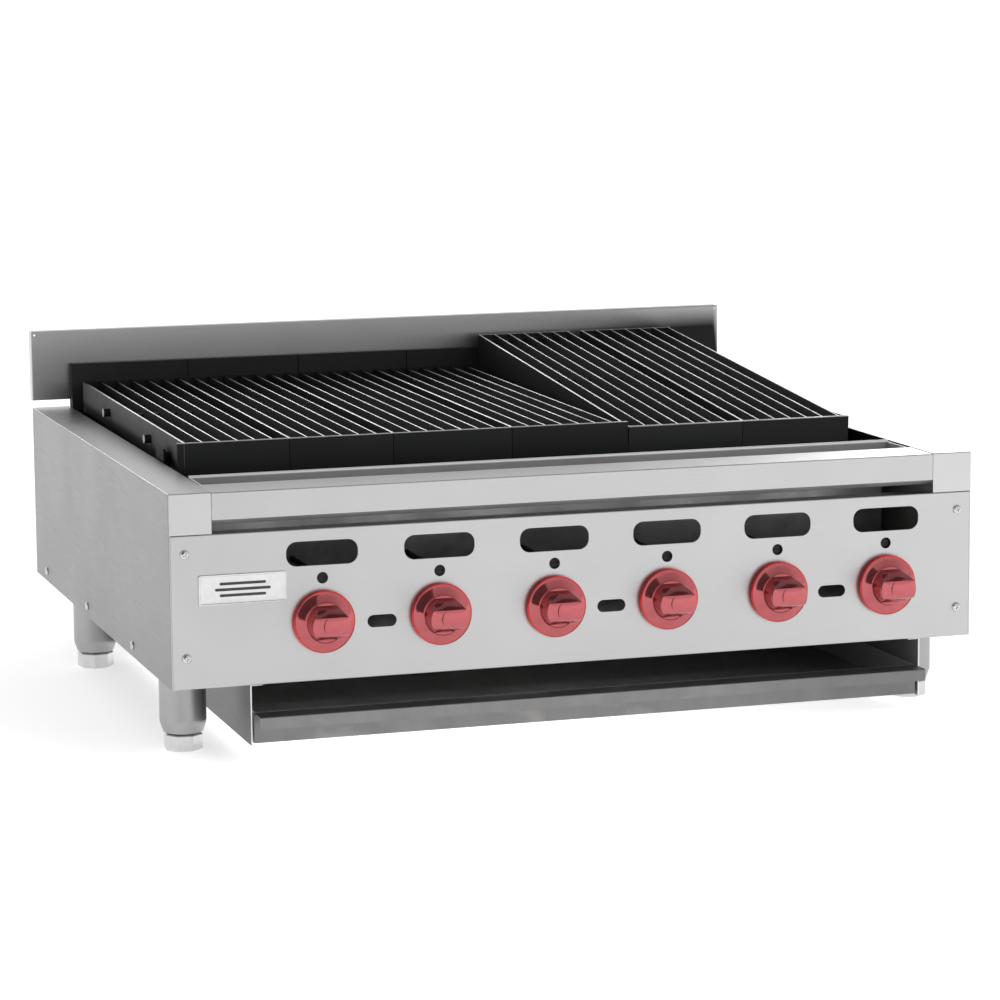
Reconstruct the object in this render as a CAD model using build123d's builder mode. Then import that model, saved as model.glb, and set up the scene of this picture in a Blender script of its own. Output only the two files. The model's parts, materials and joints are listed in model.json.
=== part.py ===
"""Countertop gas charbroiler: a stainless casing on four short legs, six burners, valves and knobs,
cast radiants, six tilting cast grates, a front grease trough and a drip pan that slides out.

Millimetres. +X is the operator's right, the control panel faces -Y, +Z is up.
The origin is on the counter, under the middle of the casing.
"""
from build123d import *
import os

os.makedirs("parts", exist_ok=True)

# ---------------------------------------------------------------- driving dimensions
WIDTH = 914.4                     # casing, outside
DEPTH = 787.4
LEG_HEIGHT = 84.0
BODY_HEIGHT = 208.0
SPLASH_TOP = 303.0                # above the casing's underside
SHEET = 1.5                       # casing sheet
BEND = 1.2                        # outside radius of the casing's bends
BURNERS = 6
BURNER_PITCH = 129.3
KNOB_OFFSET = 31.0                # each knob stands this far right of its burner's middle

FRONT = -DEPTH / 2
REAR = DEPTH / 2
BASE = LEG_HEIGHT                 # underside of the casing
TOP = BASE + BODY_HEIGHT
SIDE = WIDTH / 2

LEDGE_INNER = 411.0               # half width of the opening between the side ledges
LEDGE_LIP = 25.0
WRAP_Z = BASE + 164.0             # the side panels wrap on to the front above this height
PANEL_TOP = BASE + 163.5
PANEL_HALF = SIDE - SHEET - 0.3
RETURN = 22.0                     # the control panel's folded edges

SLOT_Z = BASE + 137.3             # viewing slots
SLOT_SIZE = (78.0, 26.0)
SLOT_CORNER = 11.0
RIM_ROUND = 0.4                   # punched openings are rounded over at the front
PILOT_Z = BASE + 110.5
KNOB_Z = BASE + 64.0
SMALL_SLOT_Z = BASE + 60.3
SMALL_SLOT_SIZE = (32.0, 13.0)
PANEL_SCREW_X = 440.5
PANEL_SCREW_Z = (BASE + 33.0, BASE + 143.5)
SIDE_SCREW_Z = BASE + 12.5
SIDE_SCREW_Y = (FRONT + 199.0, FRONT + 457.0, FRONT + 715.0)

RAIL_HALF = 410.5                 # front rail between the side panels
RAIL_LOW = 173.4
RAIL_HIGH = 207.5
RAIL_DEPTH = 60.0

SPLASH_FACE = REAR - 2.0
SPLASH_DEPTH = 16.0               # box depth of the backsplash
SPLASH_GAP = 9.0                  # open gap between the ledges and the backsplash

PIVOT_Y = FRONT + 265.0           # the rod that the grates rock on
PIVOT_Z = BASE + 211.0
PIVOT_R = 6.0
LOW_TILT = 0.5
HIGH_TILT = 5.0
RIB_PITCH = 19.85
GRATE_RIBS = (6, 6, 7, 7, 7, 7)   # ribs on each grate, from the left
RAISED = (4, 5)                   # grates stored in the high position
GRATES_LEFT = -396.5
GRATES_RIGHT = 389.6
APRON_LEFT = -404.0               # the first grate's apron reaches past its side
GRATE_FRONT = -75.0               # grate ends, from the pivot
GRATE_REAR = 504.0
GRATE_TOP = 24.5
RIB_DEPTH = 17.0
RIB_HALF_TOP = 1.4
WALL_LOW = -12.0                  # lower edge of a grate's apron and side wall
GRATE_GAP = 0.8
BOSS_PLACES = ((100.0, 6.6), (335.0, 7.1))

FLUE_Y = FRONT + 771.5
FLUE_SEAMS = [-261.7 + 143.3 * i for i in range(5)]
FLUE_HALF = 410.0

BOX_FRONT = FRONT + 130.0         # firebox, inside
BOX_REAR = FRONT + 765.0
BOX_HALF = 405.5
BOX_TOP = BASE + 190.0
BOX_FLOOR = BASE + 3.0
LEDGE_Z = BASE + 96.0             # shelves that carry the radiants

MANIFOLD_Y = FRONT + 45.0
MANIFOLD_Z = BASE + 22.0
MANIFOLD_R = 16.7
INLET_X = 430.0
INLET_R = 13.35
INLET_REACH = 38.0                # the gas inlet stands this far out at the back
THREAD_R = 12.9                   # inlet's threaded end, mean radius
THREAD_LENGTH = 20.0
PIPE_WALL = 2.9
ELBOW_R = INLET_R + 4.0

KNOB_R = 33.5
BARREL_R = 20.5                   # round barrel of a knob, flattened into its grip
GRIP_HALF = 9.2
KNOB_REACH = 37.6
KNOB_SEAT = 12.0                  # where the barrel leaves the disc
STEM_R = 4.0
FIT = 0.05                        # radial running clearance

BAY_LEFT = -372.0                 # drip pan bay, outside
BAY_RIGHT = 398.0
BAY_DEPTH = 640.0
BAY_BOTTOM = BASE - 66.0
LEG_X = 425.0
LEG_Y = (FRONT + 96.0, FRONT + 582.0)
LEG_R = 25.4
FOOT_HEIGHT = 18.0

BURNER_X = [(i - (BURNERS - 1) / 2) * BURNER_PITCH for i in range(BURNERS)]
KNOB_X = [x + KNOB_OFFSET for x in BURNER_X]


# ---------------------------------------------------------------- helpers
def save(piece, name):
    """Label a finished piece and write it."""
    piece.part.label = name
    export_step(piece.part, f"parts/{name}.step")


def slab(x, y, z, mode=Mode.ADD):
    """A block between two places on each axis."""
    middle = ((x[0] + x[1]) / 2, (y[0] + y[1]) / 2, (z[0] + z[1]) / 2)
    with Locations(middle):
        Box(abs(x[1] - x[0]), abs(y[1] - y[0]), abs(z[1] - z[0]), mode=mode)


def rod_x(r, x, y, z, mode=Mode.ADD):
    """A round bar along X, between two places."""
    with Locations(Location(((x[0] + x[1]) / 2, y, z), (0, 90, 0))):
        Cylinder(r, abs(x[1] - x[0]), mode=mode)


def rod_y(r, x, y, z, mode=Mode.ADD):
    """A round bar along Y, between two places."""
    with Locations(Location((x, (y[0] + y[1]) / 2, z), (90, 0, 0))):
        Cylinder(r, abs(y[1] - y[0]), mode=mode)


def rod_z(r, x, y, z, mode=Mode.ADD):
    """A round bar along Z, between two places."""
    with Locations((x, y, (z[0] + z[1]) / 2)):
        Cylinder(r, abs(z[1] - z[0]), mode=mode)


def edges_at(piece, axis, **place):
    """Edges along an axis whose middle is at the given X, Y or Z."""
    def fits(edge):
        middle = edge.center()
        return all(abs(getattr(middle, key) - value) < 0.01 for key, value in place.items())
    return piece.edges().filter_by(axis).filter_by(fits)


def front_plane(y):
    """Upright plane facing the operator: local x is X and local y is Z."""
    return Plane(origin=(0, y, 0), x_dir=(1, 0, 0), z_dir=(0, -1, 0))


# ---------------------------------------------------------------- casing
def side_panel(name, side):
    """Side skin with its top ledge, the ledge's inner lip, the front wrap and the front tab."""
    outer = side * SIDE
    lip = side * LEDGE_INNER
    with BuildPart() as panel:
        slab((outer - side * SHEET, outer), (FRONT, REAR), (BASE, TOP))
        slab((lip, outer), (FRONT, REAR), (TOP - SHEET, TOP))
        slab((lip, lip + side * SHEET), (FRONT, REAR - 20.0), (TOP - LEDGE_LIP, TOP))
        slab((lip, outer), (FRONT, FRONT + SHEET), (WRAP_Z, TOP))
        tab_y = FRONT + SHEET + 0.1
        slab((outer - side * 30.0, outer), (tab_y, tab_y + SHEET), (BASE + 4.0, WRAP_Z - 4.0))
        fillet(edges_at(panel, Axis.Y, X=outer, Z=TOP), BEND)
        fillet(edges_at(panel, Axis.X, Y=FRONT, Z=TOP), BEND)
        for y in SIDE_SCREW_Y:
            rod_x(2.5, (outer - side * 4.0, outer + side), y, SIDE_SCREW_Z, Mode.SUBTRACT)
        for z in PANEL_SCREW_Z:
            rod_y(2.5, side * PANEL_SCREW_X, (FRONT, FRONT + 6.0), z, Mode.SUBTRACT)
    save(panel, name)


side_panel("left_side_panel", -1)
side_panel("right_side_panel", 1)

with BuildPart() as rear_panel:
    slab((-PANEL_HALF, PANEL_HALF), (REAR - SHEET, REAR), (BASE, TOP - 42.0))
    rod_y(INLET_R + 2.0, INLET_X, (REAR - 4.0, REAR + 4.0), MANIFOLD_Z, Mode.SUBTRACT)
save(rear_panel, "rear_panel")

with BuildPart() as backsplash:
    behind = SPLASH_FACE + SPLASH_DEPTH
    crown = BASE + SPLASH_TOP
    slab((-SIDE, SIDE), (SPLASH_FACE, behind), (TOP + SPLASH_GAP, crown))
    slab((-SIDE + SHEET, SIDE - SHEET), (SPLASH_FACE + SHEET, behind + 1.0),
         (TOP + SPLASH_GAP - 1.0, crown - SHEET), Mode.SUBTRACT)
    slab((-FLUE_HALF, FLUE_HALF), (SPLASH_FACE, SPLASH_FACE + SHEET), (TOP - 41.0, TOP + SPLASH_GAP + 1.0))
    for side in (-1, 1):
        rod_y(1.2, side * (SIDE - 4.5), (SPLASH_FACE - 1.0, behind), crown - 4.5, Mode.SUBTRACT)
    fillet(edges_at(backsplash, Axis.X, Y=SPLASH_FACE, Z=crown), BEND)
    fillet(edges_at(backsplash, Axis.Z, X=-SIDE, Y=SPLASH_FACE), BEND)
    fillet(edges_at(backsplash, Axis.Z, X=SIDE, Y=SPLASH_FACE), BEND)
save(backsplash, "backsplash")

with BuildPart() as front_rail:
    with BuildSketch(Plane(origin=(-RAIL_HALF, FRONT, BASE), x_dir=(0, 1, 0), z_dir=(1, 0, 0))):
        with BuildLine():
            Polyline(
                (0, RAIL_HIGH), (0, RAIL_LOW + 5.0), (5.0, RAIL_LOW), (16.0, RAIL_LOW),
                (16.0, RAIL_LOW + SHEET), (5.6, RAIL_LOW + SHEET), (SHEET, RAIL_LOW + 5.6),
                (SHEET, RAIL_HIGH - SHEET), (RAIL_DEPTH - SHEET, RAIL_HIGH - SHEET),
                (RAIL_DEPTH - SHEET, RAIL_HIGH - 12.0), (RAIL_DEPTH, RAIL_HIGH - 12.0),
                (RAIL_DEPTH, RAIL_HIGH), close=True,
            )
        make_face()
    extrude(amount=2 * RAIL_HALF)
    fillet(edges_at(front_rail, Axis.X, Y=FRONT, Z=BASE + RAIL_HIGH), BEND)
    fillet(edges_at(front_rail, Axis.X, Y=FRONT + RAIL_DEPTH, Z=BASE + RAIL_HIGH), BEND)
save(front_rail, "front_rail")

with BuildPart() as control_panel:
    slab((-PANEL_HALF, PANEL_HALF), (FRONT, FRONT + SHEET), (BASE, PANEL_TOP))
    slab((-PANEL_HALF, PANEL_HALF), (FRONT, FRONT + RETURN), (BASE, BASE + SHEET))
    slab((-LEDGE_INNER, LEDGE_INNER), (FRONT, FRONT + RETURN), (PANEL_TOP - SHEET, PANEL_TOP))
    fillet(edges_at(control_panel, Axis.X, Y=FRONT, Z=BASE), BEND)
    fillet(edges_at(control_panel, Axis.X, Y=FRONT, Z=PANEL_TOP), BEND)
    with BuildSketch(front_plane(FRONT)) as openings:
        with Locations(*[(x, SLOT_Z) for x in KNOB_X]):
            RectangleRounded(*SLOT_SIZE, SLOT_CORNER)
        with Locations(*[(x, PILOT_Z) for x in KNOB_X]):
            Circle(6.0)
        with Locations(*[(x, KNOB_Z) for x in KNOB_X]):
            Circle(8.0)
        with Locations(*[((KNOB_X[i] + KNOB_X[i + 1]) / 2, SMALL_SLOT_Z) for i in (0, 2, 4)]):
            SlotOverall(*SMALL_SLOT_SIZE)
        with Locations(*[(side * PANEL_SCREW_X, z) for side in (-1, 1) for z in PANEL_SCREW_Z]):
            Circle(2.5)
    extrude(amount=-2 * SHEET, mode=Mode.SUBTRACT)
    rims = control_panel.edges().filter_by_position(Axis.Y, FRONT - 0.01, FRONT + 0.01)
    fillet([rim for rim in rims if rim.length < SLOT_SIZE[0]], RIM_ROUND)
save(control_panel, "control_panel")

with BuildPart() as name_plate:
    with BuildSketch(front_plane(FRONT - 0.1)):
        with Locations((-379.0, BASE + 104.3)):
            RectangleRounded(95.0, 32.5, 2.0)
    extrude(amount=1.2)
save(name_plate, "name_plate")

with BuildPart() as base_frame:
    slab((-PANEL_HALF, PANEL_HALF), (FRONT + 24.0, REAR - 2.0), (BASE, BOX_FLOOR))
    slab((BAY_LEFT + 12.0, BAY_RIGHT - 12.0), (FRONT + 40.0, FRONT + BAY_DEPTH - 12.0),
         (BASE - 1.0, BOX_FLOOR + 1.0), Mode.SUBTRACT)
    for side in (-1, 1):
        slab((side * (PANEL_HALF - 3.0), side * PANEL_HALF), (FRONT + 24.0, REAR - 2.0), (BASE, BASE + 30.0))
        for y in SIDE_SCREW_Y:
            rod_x(2.5, (side * (PANEL_HALF - 4.0), side * (PANEL_HALF + 1.0)), y, SIDE_SCREW_Z, Mode.SUBTRACT)
        for y in LEG_Y:
            rod_z(6.3, side * LEG_X, y, (BASE - 1.0, BOX_FLOOR + 1.0), Mode.SUBTRACT)
save(base_frame, "base_frame")


screw_heads = [Plane(origin=(side * PANEL_SCREW_X, FRONT, z), z_dir=(0, -1, 0))
               for side in (-1, 1) for z in PANEL_SCREW_Z]
screw_heads += [Plane(origin=(side * SIDE, y, SIDE_SCREW_Z), z_dir=(side, 0, 0))
                for side in (-1, 1) for y in SIDE_SCREW_Y]

with BuildPart() as casing_screws:
    with BuildSketch(*screw_heads):
        Circle(5.0)
    extrude(amount=2.6)
    with BuildSketch(*screw_heads):
        Circle(2.2)
    extrude(amount=-9.0)
    with BuildSketch(*[head.offset(2.6) for head in screw_heads]):
        Rectangle(5.2, 1.1)
        Rectangle(1.1, 5.2)
    extrude(amount=-1.2, mode=Mode.SUBTRACT)
save(casing_screws, "casing_screws")


# ---------------------------------------------------------------- firebox
BRACKET_BOLT_X = 401.0
BRACKET_BOLT_Y = (PIVOT_Y - 12.0, PIVOT_Y + 12.0, BOX_REAR - 22.0)


def firebox_wall(name, side):
    """Upright side liner with an inward flange at its top, which carries the rack's brackets."""
    inner = side * BOX_HALF
    with BuildPart() as wall:
        slab((inner, inner + side * SHEET), (BOX_FRONT, BOX_REAR), (BOX_FLOOR, BOX_TOP))
        slab((inner - side * 12.0, inner + side * SHEET), (BOX_FRONT, BOX_REAR),
             (BOX_TOP - SHEET, BOX_TOP))
        for y in BRACKET_BOLT_Y:
            rod_z(3.3, side * BRACKET_BOLT_X, y, (BOX_TOP - 4.0, BOX_TOP + 1.0), Mode.SUBTRACT)
    save(wall, name)


firebox_wall("firebox_left_wall", -1)
firebox_wall("firebox_right_wall", 1)

with BuildPart() as firebox_front_wall:
    slab((-BOX_HALF, BOX_HALF), (BOX_FRONT - SHEET, BOX_FRONT), (BOX_FLOOR, BOX_TOP))
    slab((-BOX_HALF, BOX_HALF), (BOX_FRONT, BOX_FRONT + 15.0), (LEDGE_Z, LEDGE_Z + SHEET))
    slab((-BOX_HALF, BOX_HALF), (FRONT + 72.0, BOX_FRONT), (BASE + 163.5, BASE + 165.0))
    for x in KNOB_X:
        rod_y(16.0, x, (BOX_FRONT - 4.0, BOX_FRONT + 4.0), KNOB_Z, Mode.SUBTRACT)
        rod_y(3.5, x, (BOX_FRONT - 4.0, BOX_FRONT + 4.0), PILOT_Z, Mode.SUBTRACT)
save(firebox_front_wall, "firebox_front_wall")

with BuildPart() as firebox_rear_wall:
    slab((-BOX_HALF, BOX_HALF), (BOX_REAR, BOX_REAR + SHEET), (BOX_FLOOR, BASE + 198.0))
    slab((-BOX_HALF, BOX_HALF), (BOX_REAR - 20.0, BOX_REAR), (LEDGE_Z, LEDGE_Z + SHEET))
    for x in BURNER_X:
        rod_y(6.3, x, (BOX_REAR - 4.0, BOX_REAR + 4.0), KNOB_Z, Mode.SUBTRACT)
save(firebox_rear_wall, "firebox_rear_wall")

with BuildPart() as flue_plates:
    seams = [-FLUE_HALF] + FLUE_SEAMS + [FLUE_HALF]
    plate_z = (BASE + 204.0, BASE + 262.0)
    for left, right in zip(seams, seams[1:]):
        slab((left + 0.5, right - 0.5), (FLUE_Y, FLUE_Y + 5.0), plate_z)
    for side in (-1, 1):
        end = side * (FLUE_HALF - 0.5)
        slab((end - side * 3.0, end), (FLUE_Y, SPLASH_FACE - 0.3), plate_z)
save(flue_plates, "flue_plates")

# ---------------------------------------------------------------- grate rack
BRACKET_Z = BOX_TOP + 0.2
BRACKET_X = (396.5, 408.0)
REST_TOP = BASE + 202.9

with BuildPart() as rack_brackets:
    for side in (-1, 1):
        foot_x = (side * BRACKET_X[0], side * BRACKET_X[1])
        plate_x = (side * (BRACKET_X[1] - 2.5), side * BRACKET_X[1])
        slab(foot_x, (PIVOT_Y - 20.0, PIVOT_Y + 20.0), (BRACKET_Z, BRACKET_Z + 2.5))
        slab(plate_x, (PIVOT_Y - 20.0, PIVOT_Y + 20.0), (BRACKET_Z, PIVOT_Z + 11.0))
        slab(foot_x, (BOX_REAR - 28.0, BOX_REAR - 2.0), (BRACKET_Z, BRACKET_Z + 2.5))
        slab(plate_x, (BOX_REAR - 28.0, BOX_REAR - 2.0), (BRACKET_Z, REST_TOP))
        rod_x(PIVOT_R + 0.2, (side * 404.0, side * 409.0), PIVOT_Y, PIVOT_Z, Mode.SUBTRACT)
        for y in BRACKET_BOLT_Y:
            rod_z(3.3, side * BRACKET_BOLT_X, y, (BRACKET_Z - 1.0, BRACKET_Z + 4.0), Mode.SUBTRACT)
save(rack_brackets, "rack_brackets")

bolt_heads = [Plane((side * BRACKET_BOLT_X, y, BRACKET_Z + 2.5)) for side in (-1, 1) for y in BRACKET_BOLT_Y]

with BuildPart() as rack_bolts:
    with BuildSketch(*bolt_heads):
        RegularPolygon(4.2, 6)
    extrude(amount=3.5)
    with BuildSketch(*bolt_heads):
        Circle(3.0)
    extrude(amount=-9.0)
save(rack_bolts, "rack_bolts")

with BuildPart() as grate_pivot_rod:
    rod_x(PIVOT_R, (-BRACKET_X[1], BRACKET_X[1]), PIVOT_Y, PIVOT_Z)
save(grate_pivot_rod, "grate_pivot_rod")

with BuildPart() as rear_rest_bar:
    slab((-404.5, 404.5), (BOX_REAR - 15.0, BOX_REAR - 7.0), (BRACKET_Z + 2.6, REST_TOP))
save(rear_rest_bar, "rear_rest_bar")


# ---------------------------------------------------------------- grates
def grate(name, left, right, ribs, tilt, apron_left):
    """Cast grate: ridged ribs from a deep left side wall, cross bars, a saddle and a front apron."""
    frame = Plane(origin=(left, PIVOT_Y, PIVOT_Z)).rotated((tilt, 0, 0))
    section = Plane(origin=frame.from_local_coords((0, GRATE_FRONT, 0)), x_dir=frame.x_dir,
                    z_dir=-frame.y_dir)
    low = GRATE_TOP - RIB_DEPTH
    across = (0, right - left)
    bars = (0, RIB_HALF_TOP + (ribs - 1) * RIB_PITCH + 3.0)
    reach = GRATE_REAR - GRATE_FRONT
    saddle = PIVOT_R + 0.3
    with BuildPart(frame) as cast:
        with BuildSketch(section):
            with Locations(*[(RIB_HALF_TOP + i * RIB_PITCH, 0) for i in range(1, ribs)]):
                Polygon((-RIB_HALF_TOP, GRATE_TOP), (RIB_HALF_TOP, GRATE_TOP), (3.2, low + 5.0), (5.0, low),
                        (-5.0, low), (-3.2, low + 5.0), align=None)
            Polygon((0, GRATE_TOP), (2 * RIB_HALF_TOP, GRATE_TOP), (5.0, low + 5.0), (5.0, WALL_LOW),
                    (0, WALL_LOW), align=None)
        extrude(amount=-reach)
        slab((apron_left - left, across[1]), (GRATE_FRONT, GRATE_FRONT + 5.0), (WALL_LOW, GRATE_TOP))
        slab(bars, (-12.0, 12.0), (-4.0, GRATE_TOP - 9.0))
        slab(bars, (230.0, 240.0), (low - 4.0, GRATE_TOP - 7.0))
        slab(bars, (GRATE_REAR - 12.0, GRATE_REAR), (low, GRATE_TOP - 5.0))
        slab(bars, (GRATE_REAR - 3.0, GRATE_REAR), (low, GRATE_TOP - 0.4))
        if apron_left < left:
            for y, z in BOSS_PLACES:
                rod_x(5.0, (-8.5, 1.0), y, z)
        rod_x(saddle, (-1.0, across[1] + 1.0), 0, 0, Mode.SUBTRACT)
        slab((-1.0, across[1] + 1.0), (-saddle, saddle), (WALL_LOW - 1.0, 0), Mode.SUBTRACT)
    save(cast, name)


grate_left = GRATES_LEFT
for index, rib_count in enumerate(GRATE_RIBS):
    grate_right = min(grate_left + rib_count * RIB_PITCH - GRATE_GAP, GRATES_RIGHT)
    grate(f"grate_{index + 1}", grate_left, grate_right, rib_count,
          HIGH_TILT if index in RAISED else LOW_TILT, APRON_LEFT if index == 0 else grate_left)
    grate_left += rib_count * RIB_PITCH


# ---------------------------------------------------------------- radiants and burners
def radiant(name, x):
    """Cast roof-shaped radiant with two rows of slots."""
    half, rise, wall = 60.0, 46.0, 8.0
    foot_z = LEDGE_Z + SHEET + 0.3
    with BuildPart() as cast:
        with BuildSketch(front_plane(BOX_FRONT + 7.0)):
            with BuildLine():
                Polyline((x - half, foot_z), (x, foot_z + rise), (x + half, foot_z),
                         (x + half - wall, foot_z), (x, foot_z + rise - wall), (x - half + wall, foot_z),
                         close=True)
            make_face()
        extrude(amount=BOX_FRONT - BOX_REAR + 14.0)
        with BuildSketch(Plane.XY.offset(foot_z)):
            with Locations((x, (BOX_FRONT + BOX_REAR) / 2)):
                with GridLocations(56.0, 62.0, 2, 9):
                    SlotOverall(26.0, 9.0)
        extrude(amount=rise, mode=Mode.SUBTRACT)
    save(cast, name)


def burner(name, x):
    """Hairpin tube burner; its right leg runs forward through the firebox wall as the mixing tube."""
    outer, bore, spread = 15.0, 13.0, KNOB_OFFSET
    header, header_end = 17.0, 34.0
    start, end = BOX_FRONT + 22.0, BOX_REAR - 50.0
    mouth = FRONT + 92.0
    with BuildPart() as tube:
        rod_y(outer, x - spread, (start, end), KNOB_Z)
        rod_y(outer, x + spread, (mouth + 8.0, end), KNOB_Z)
        rod_y(outer + 5.0, x + spread, (mouth, mouth + 10.0), KNOB_Z)
        rod_x(header, (x - spread - header_end / 2, x + spread + header_end / 2), end, KNOB_Z)
        rod_y(6.0, x, (end + header - 2.0, BOX_REAR + SHEET), KNOB_Z)
        rod_x(header - 3.0, (x - spread - 10.0, x + spread + 10.0), end, KNOB_Z, Mode.SUBTRACT)
        rod_y(bore, x - spread, (start + 3.0, end), KNOB_Z, Mode.SUBTRACT)
        rod_y(bore, x + spread, (mouth - 1.0, end), KNOB_Z, Mode.SUBTRACT)
        with Locations((x, (start + end) / 2, KNOB_Z + outer)):
            with GridLocations(2 * spread, 42.0, 2, 11):
                Box(14.0, 2.0, 8.0, mode=Mode.SUBTRACT)
    save(tube, name)


for index, burner_x in enumerate(BURNER_X):
    radiant(f"radiant_{index + 1}", burner_x)
    burner(f"burner_{index + 1}", burner_x)

# ---------------------------------------------------------------- gas train
with BuildPart() as gas_manifold:
    rod_x(MANIFOLD_R, (-330.0, 396.0), MANIFOLD_Y, MANIFOLD_Z)
    rod_x(MANIFOLD_R - 3.0, (-325.0, 397.0), MANIFOLD_Y, MANIFOLD_Z, Mode.SUBTRACT)
    for knob_x in KNOB_X:
        rod_z(7.0, knob_x, MANIFOLD_Y, (MANIFOLD_Z, MANIFOLD_Z + MANIFOLD_R + 1.0), Mode.SUBTRACT)
save(gas_manifold, "gas_manifold")

with BuildPart() as gas_supply_pipe:
    rod_x(INLET_R, (397.0, INLET_X), MANIFOLD_Y, MANIFOLD_Z)
    inlet_end = REAR + INLET_REACH
    rod_y(INLET_R, INLET_X, (MANIFOLD_Y, inlet_end - THREAD_LENGTH), MANIFOLD_Z)
    rod_y(THREAD_R, INLET_X, (inlet_end - THREAD_LENGTH - 1.0, inlet_end), MANIFOLD_Z)
    with Locations((INLET_X, MANIFOLD_Y, MANIFOLD_Z)):
        Sphere(ELBOW_R)
    rod_x(ELBOW_R, (INLET_X - 20.0, INLET_X), MANIFOLD_Y, MANIFOLD_Z)
    rod_y(ELBOW_R, INLET_X, (MANIFOLD_Y, MANIFOLD_Y + 22.0), MANIFOLD_Z)
    rod_x(INLET_R - PIPE_WALL, (396.0, INLET_X), MANIFOLD_Y, MANIFOLD_Z, Mode.SUBTRACT)
    rod_y(INLET_R - PIPE_WALL, INLET_X, (MANIFOLD_Y, inlet_end + 1.0), MANIFOLD_Z, Mode.SUBTRACT)
save(gas_supply_pipe, "gas_supply_pipe")

with BuildPart() as valve_bodies:
    for x in KNOB_X:
        rod_y(12.0, x, (FRONT + 14.0, FRONT + 70.0), KNOB_Z)
        rod_z(6.8, x, MANIFOLD_Y, (MANIFOLD_Z + MANIFOLD_R - 3.0, KNOB_Z))
        rod_y(7.0, x, (FRONT + 69.0, FRONT + 88.0), KNOB_Z)
        rod_y(STEM_R + FIT, x, (FRONT + 13.0, FRONT + 40.0), KNOB_Z, Mode.SUBTRACT)
        rod_y(1.2, x, (FRONT + 60.0, FRONT + 89.0), KNOB_Z, Mode.SUBTRACT)
save(valve_bodies, "valve_bodies")

with BuildPart() as pilot_lines:
    for x in KNOB_X:
        side_x = x + 24.0
        rod_y(5.0, x, (FRONT + 4.0, MANIFOLD_Y + 5.0), PILOT_Z)
        rod_y(3.0, x, (MANIFOLD_Y, BOX_FRONT + 4.0), PILOT_Z)
        rod_x(3.0, (x, side_x), MANIFOLD_Y, PILOT_Z)
        rod_z(3.0, side_x, MANIFOLD_Y, (MANIFOLD_Z + MANIFOLD_R + 0.05, PILOT_Z))
        with Locations((side_x, MANIFOLD_Y, PILOT_Z)):
            Sphere(3.0)
        slab((x - 4.0, x + 4.0), (FRONT + 3.0, FRONT + 5.0), (PILOT_Z - 0.6, PILOT_Z + 0.6), Mode.SUBTRACT)
save(pilot_lines, "pilot_lines")


def knob(name, x):
    """Disc with a round barrel that two slanting flats cut down to a grip; it points right when off."""
    with BuildPart() as body:
        with BuildSketch(Plane(origin=(x, FRONT, KNOB_Z), x_dir=(1, 0, 0), z_dir=(0, 0, 1))):
            with BuildLine():
                Polyline((0, -3.0), (KNOB_R - 5.0, -3.0), (KNOB_R, -5.5), (KNOB_R, -7.0),
                         (KNOB_R - 1.0, -7.6), (BARREL_R, -KNOB_SEAT), (BARREL_R, -KNOB_REACH),
                         (0, -KNOB_REACH), close=True)
            make_face()
        revolve(axis=Axis((x, FRONT, KNOB_Z), (0, 1, 0)))
        with BuildSketch(Plane(origin=(x, FRONT, KNOB_Z), x_dir=(0, -1, 0), z_dir=(-1, 0, 0))):
            for side in (-1, 1):
                Polygon((KNOB_SEAT, side * (BARREL_R - 2.0)), (KNOB_REACH, side * GRIP_HALF),
                        (KNOB_REACH + 1.0, side * GRIP_HALF), (KNOB_REACH + 1.0, side * KNOB_R),
                        (KNOB_SEAT, side * KNOB_R), align=None)
        extrude(amount=KNOB_R, both=True, mode=Mode.SUBTRACT)
        fillet(body.faces().sort_by(Axis.Y)[0].edges(), 1.0)
        rod_y(STEM_R, x, (FRONT - 2.0, FRONT - 22.0), KNOB_Z, Mode.SUBTRACT)
    save(body, name)


def valve_stem(name, x):
    """Round stem from inside the valve body to inside the knob."""
    with BuildPart() as stem:
        rod_y(STEM_R, x, (FRONT - 22.0, FRONT + 38.0), KNOB_Z)
    save(stem, name)


for index, knob_x in enumerate(KNOB_X):
    knob(f"knob_{index + 1}", knob_x)
    valve_stem(f"valve_stem_{index + 1}", knob_x)

# ---------------------------------------------------------------- grease trough and drip pan
with BuildPart() as grease_trough:
    low_y, high_y = FRONT + 61.5, FRONT + 119.0
    floor_z, rim_z = BASE + 165.5, BASE + 207.0
    slab((-408.0, 408.0), (low_y, high_y), (floor_z, rim_z))
    slab((-406.5, 406.5), (low_y + SHEET, high_y - SHEET), (floor_z + SHEET, rim_z + 1.0), Mode.SUBTRACT)
    slab((-408.0, 408.0), (high_y - SHEET, high_y + 5.0), (rim_z - SHEET, rim_z))
    rod_x(2.2, (-408.0, 408.0), high_y + 1.0, rim_z)
save(grease_trough, "grease_trough")

with BuildPart() as pan_housing:
    bay_y = (FRONT + 4.0, FRONT + BAY_DEPTH)
    slab((BAY_LEFT, BAY_RIGHT), bay_y, (BAY_BOTTOM, BASE))
    slab((BAY_LEFT + SHEET, BAY_RIGHT - SHEET), (FRONT, bay_y[1] - SHEET),
         (BAY_BOTTOM + SHEET, BASE - SHEET), Mode.SUBTRACT)
    slab((BAY_LEFT + 14.0, BAY_RIGHT - 14.0), (FRONT, bay_y[1] - 14.0), (BAY_BOTTOM - 1.0, BASE + 1.0),
         Mode.SUBTRACT)
    slab((BAY_LEFT + SHEET, BAY_RIGHT - SHEET), (FRONT, FRONT + 60.0), (BAY_BOTTOM - 1.0, BAY_BOTTOM + SHEET + 1.0),
         Mode.SUBTRACT)
save(pan_housing, "pan_housing")

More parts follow.
